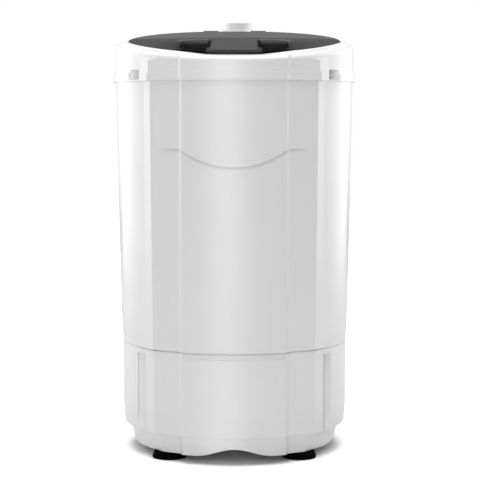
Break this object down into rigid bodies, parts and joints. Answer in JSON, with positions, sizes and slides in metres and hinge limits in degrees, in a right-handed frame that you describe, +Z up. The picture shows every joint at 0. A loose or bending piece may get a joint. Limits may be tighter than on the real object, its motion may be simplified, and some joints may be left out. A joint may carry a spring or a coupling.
{
  "type": "laundry spin dryer",
  "caption": "Upright laundry spin dryer: tapering white cabinet, sloping dark lid on a rear hinge, timer knob behind it, steel drum and motor inside, rubber feet.",
  "frame": {"origin": "on the floor under the middle of the box round the whole part; the drum's axis stands 14.65 mm in front of it", "axes": "+Z up, the front faces -Y, +X to the right seen from the front"},
  "size_m": [0.3654, 0.3946, 0.6605],
  "materials": {
    "white_shell": "smooth, softly glossy",
    "knob_plastic": "satin",
    "lid_dark": "satin",
    "lid_grip": "matt",
    "rubber_black": "matt",
    "inner_plastic": "satin",
    "drum_steel": "brushed",
    "rim_plastic": "satin",
    "fastener_steel": "bright",
    "plate_steel": "satin",
    "cast_aluminium": "cast",
    "iron": "bare",
    "copper": "enamelled wire",
    "black_plastic": "matt",
    "white_parts": "matt",
    "can_aluminium": "drawn"
  },
  "bodies": {
    "cabinet": {"base_shell": "white_shell", "body_shell": "white_shell", "top_collar": "white_shell", "collar_screws": "fastener_steel", "seam_screws": "fastener_steel", "control_housing": "white_shell", "housing_screws": "fastener_steel", "hinge_pins": "fastener_steel", "rubber_feet": "rubber_black", "foot_screws": "fastener_steel", "cord_gland": "black_plastic", "cord_bush": "black_plastic", "timer_body": "white_parts", "interlock_switch": "black_plastic", "outer_tub": "inner_plastic", "tub_cover": "inner_plastic", "throat_ring": "inner_plastic", "tub_seal": "rubber_black", "drain_spout": "inner_plastic", "drain_gasket": "rubber_black", "motor_plate": "plate_steel", "motor_upper_bell": "cast_aluminium", "motor_lower_bell": "cast_aluminium", "motor_core": "iron", "motor_windings": "copper", "motor_bolts": "fastener_steel", "upper_bearing": "fastener_steel", "lower_bearing": "fastener_steel", "rubber_mounts": "rubber_black", "mount_springs": "fastener_steel", "mount_bolts": "fastener_steel", "brake_pivot_pin": "fastener_steel", "brake_return_spring": "fastener_steel", "capacitor": "can_aluminium", "capacitor_clip": "fastener_steel", "terminal_block": "white_parts"},
    "lid": {"lid_panel": "lid_dark", "lid_grip": "lid_grip", "lid_gasket": "rubber_black"},
    "timer_dial": {"timer_knob": "knob_plastic", "timer_spindle": "fastener_steel"},
    "plunger": {"interlock_plunger": "white_parts"},
    "drum": {"spin_drum": "drum_steel", "drum_rim": "rim_plastic", "drum_flange": "cast_aluminium", "drum_hub": "inner_plastic", "drum_nut": "fastener_steel", "drive_shaft": "fastener_steel", "motor_rotor": "iron", "cooling_fan": "black_plastic", "brake_drum": "iron"},
    "brake_arm": {"brake_lever": "plate_steel", "brake_pad": "black_plastic"},
    "brake_link": {"brake_rod": "fastener_steel"}
  },
  "joints": [
    {"name": "lid_hinge", "type": "hinge", "parent": "cabinet", "child": "lid", "pos_m": [0, 0.13969, 0.6367], "axis": [-1, 0, 0], "range_deg": [0, 100]},
    {"name": "drum_spin", "type": "hinge", "parent": "cabinet", "child": "drum", "pos_m": [0, -0.01465, 0.25], "axis": [0, 0, 1], "continuous": true},
    {"name": "timer_turn", "type": "hinge", "parent": "cabinet", "child": "timer_dial", "pos_m": [0.0055, 0.17053, 0.64002], "axis": [0, 0.1392, -0.9903], "range_deg": [0, 300]},
    {"name": "interlock_slide", "type": "slide", "parent": "cabinet", "child": "plunger", "axis": [0, -0.1392, 0.9903], "range_m": [0, 0.003]},
    {"name": "brake_rod_slide", "type": "slide", "parent": "cabinet", "child": "brake_link", "axis": [0, 0, 1], "range_m": [0, 0.006]},
    {"name": "brake_lever_pivot", "type": "hinge", "parent": "cabinet", "child": "brake_arm", "pos_m": [-0.04164, 0.04162, 0.1505], "axis": [0.8039, 0.5948, 0], "range_deg": [0, 4.08]}
  ],
  "couplings": [
    {"joint": "interlock_slide", "follows": "lid_hinge", "m_per_rad": 0.0017188},
    {"joint": "brake_rod_slide", "follows": "lid_hinge", "m_per_rad": 0.0034376},
    {"joint": "brake_lever_pivot", "follows": "lid_hinge", "ratio": 0.040682}
  ]
}
